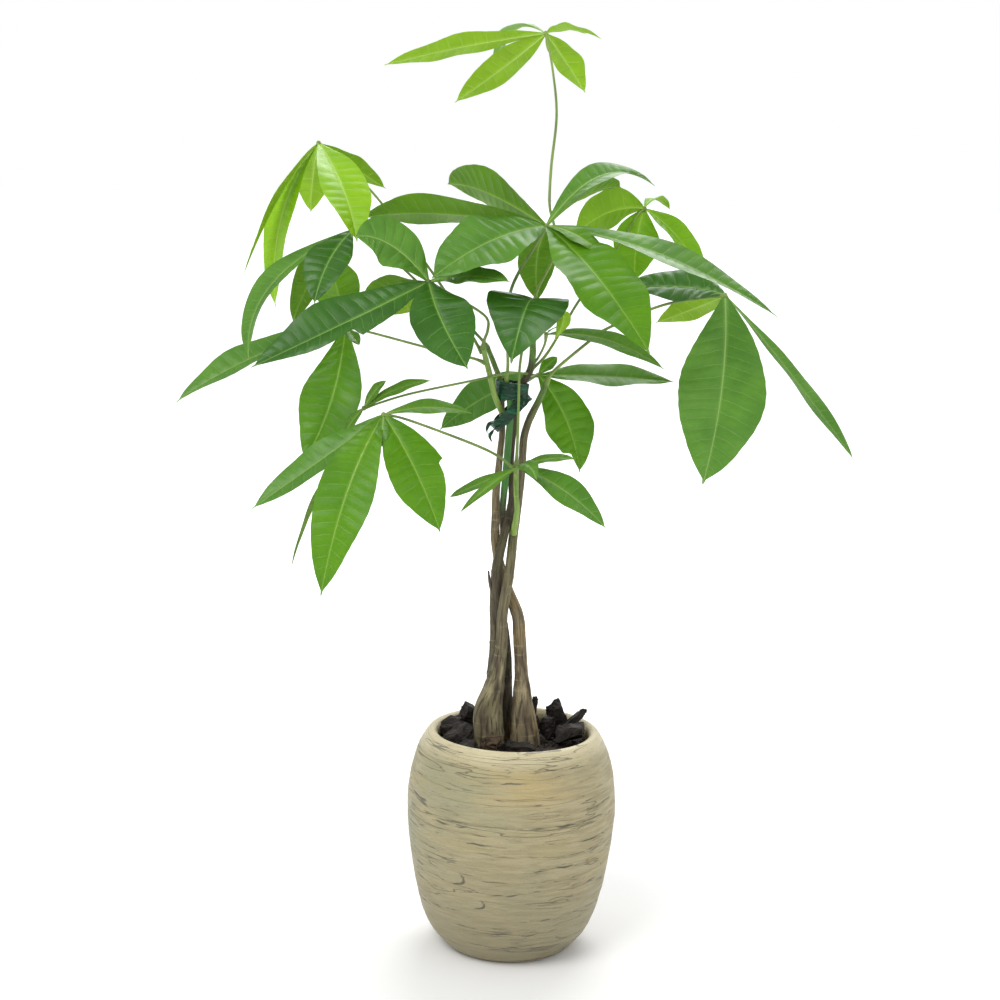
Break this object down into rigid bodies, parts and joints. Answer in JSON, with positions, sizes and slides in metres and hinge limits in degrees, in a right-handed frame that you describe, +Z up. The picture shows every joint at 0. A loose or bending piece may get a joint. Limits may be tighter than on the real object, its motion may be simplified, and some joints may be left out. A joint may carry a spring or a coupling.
{
  "type": "potted money tree",
  "caption": "Potted money tree: a braided trunk with hand-shaped leaves, rooted in soil under bark chips in a barrel-shaped cast pot.",
  "frame": {"origin": "middle of the flat foot of the pot, on the surface that the pot stands on", "axes": "+Z up along the pot's axis; -Y towards the side with the leaning front leaves, from which the braid shows; +X to the right seen from there"},
  "size_m": [0.524, 0.243, 0.7235],
  "materials": {
    "pot": "khaki cast cement with grooves and knots like wood grain, satin lip",
    "soil": "dark crumbly potting mix, matt",
    "stem_front_left": "grey-brown fissured bark, matt",
    "stem_front_right": "grey-brown fissured bark, matt",
    "stem_back": "dark brown bark, matt",
    "stem_green": "smooth dark green bark, satin",
    "shoot_side": "smooth yellow-green bark, satin",
    "shoot_left": "smooth green bark, satin",
    "tie": "very dark green glossy stretched tape",
    "leaf_crown": "young yellow-green leaf, waxy gloss, pale veins",
    "leaf_upper_left": "young yellow-green leaf, waxy gloss, pale veins",
    "leaf_left": "mid-green leaf, waxy gloss, pale veins",
    "leaf_front_left": "mid-green leaf, waxy gloss, pale veins",
    "leaf_left_low": "mid-green leaf, waxy gloss, pale veins",
    "leaf_centre": "mid-green leaf, waxy gloss, pale veins",
    "leaf_folded": "dark green leaf, waxy gloss, pale veins",
    "leaf_back_right": "mid-green leaf, waxy gloss, pale veins",
    "leaf_right": "mid-green leaf, waxy gloss, pale veins",
    "leaf_low_left": "mid-green leaf, waxy gloss, pale veins",
    "leaf_small_left": "mid-green leaf, waxy gloss, pale veins",
    "leaf_mid_right": "mid-green leaf, waxy gloss, pale veins",
    "leaf_thin_right": "mid-green leaf, waxy gloss, pale veins",
    "leaf_low_right": "mid-green leaf, waxy gloss, pale veins",
    "chip_left_large": "nearly black bark chip, rough with a few glossy broken planes",
    "chip_left_rim": "nearly black bark chip, rough with a few glossy broken planes",
    "chip_left_block": "nearly black bark chip, rough with a few glossy broken planes",
    "chip_left_front": "nearly black bark chip, rough with a few glossy broken planes",
    "chip_front_flat": "nearly black bark chip, rough with a few glossy broken planes",
    "chip_root_crust": "nearly black bark chip, rough with a few glossy broken planes",
    "chip_right_slab": "nearly black bark chip, rough with a few glossy broken planes",
    "chip_right_shard": "nearly black bark chip, rough with a few glossy broken planes",
    "chip_right_large": "nearly black bark chip, rough with a few glossy broken planes",
    "chip_right_inner": "nearly black bark chip, rough with a few glossy broken planes",
    "chip_sliver": "nearly black bark chip, rough with a few glossy broken planes",
    "chip_back_left": "nearly black bark chip, rough with a few glossy broken planes",
    "chip_back_middle": "nearly black bark chip, rough with a few glossy broken planes",
    "chip_back_right": "nearly black bark chip, rough with a few glossy broken planes"
  },
  "bodies": {
    "root": {"pot": "pot", "soil": "soil", "stem_front_left": "stem_front_left", "stem_front_right": "stem_front_right", "stem_back": "stem_back", "stem_green": "stem_green", "shoot_side": "shoot_side", "shoot_left": "shoot_left", "tie": "tie", "leaf_crown": "leaf_crown", "leaf_upper_left": "leaf_upper_left", "leaf_left": "leaf_left", "leaf_front_left": "leaf_front_left", "leaf_left_low": "leaf_left_low", "leaf_centre": "leaf_centre", "leaf_folded": "leaf_folded", "leaf_back_right": "leaf_back_right", "leaf_right": "leaf_right", "leaf_low_left": "leaf_low_left", "leaf_small_left": "leaf_small_left", "leaf_mid_right": "leaf_mid_right", "leaf_thin_right": "leaf_thin_right", "leaf_low_right": "leaf_low_right", "chip_left_large": "chip_left_large", "chip_left_rim": "chip_left_rim", "chip_left_block": "chip_left_block", "chip_left_front": "chip_left_front", "chip_front_flat": "chip_front_flat", "chip_root_crust": "chip_root_crust", "chip_right_slab": "chip_right_slab", "chip_right_shard": "chip_right_shard", "chip_right_large": "chip_right_large", "chip_right_inner": "chip_right_inner", "chip_sliver": "chip_sliver", "chip_back_left": "chip_back_left", "chip_back_middle": "chip_back_middle", "chip_back_right": "chip_back_right"}
  },
  "joints": []
}
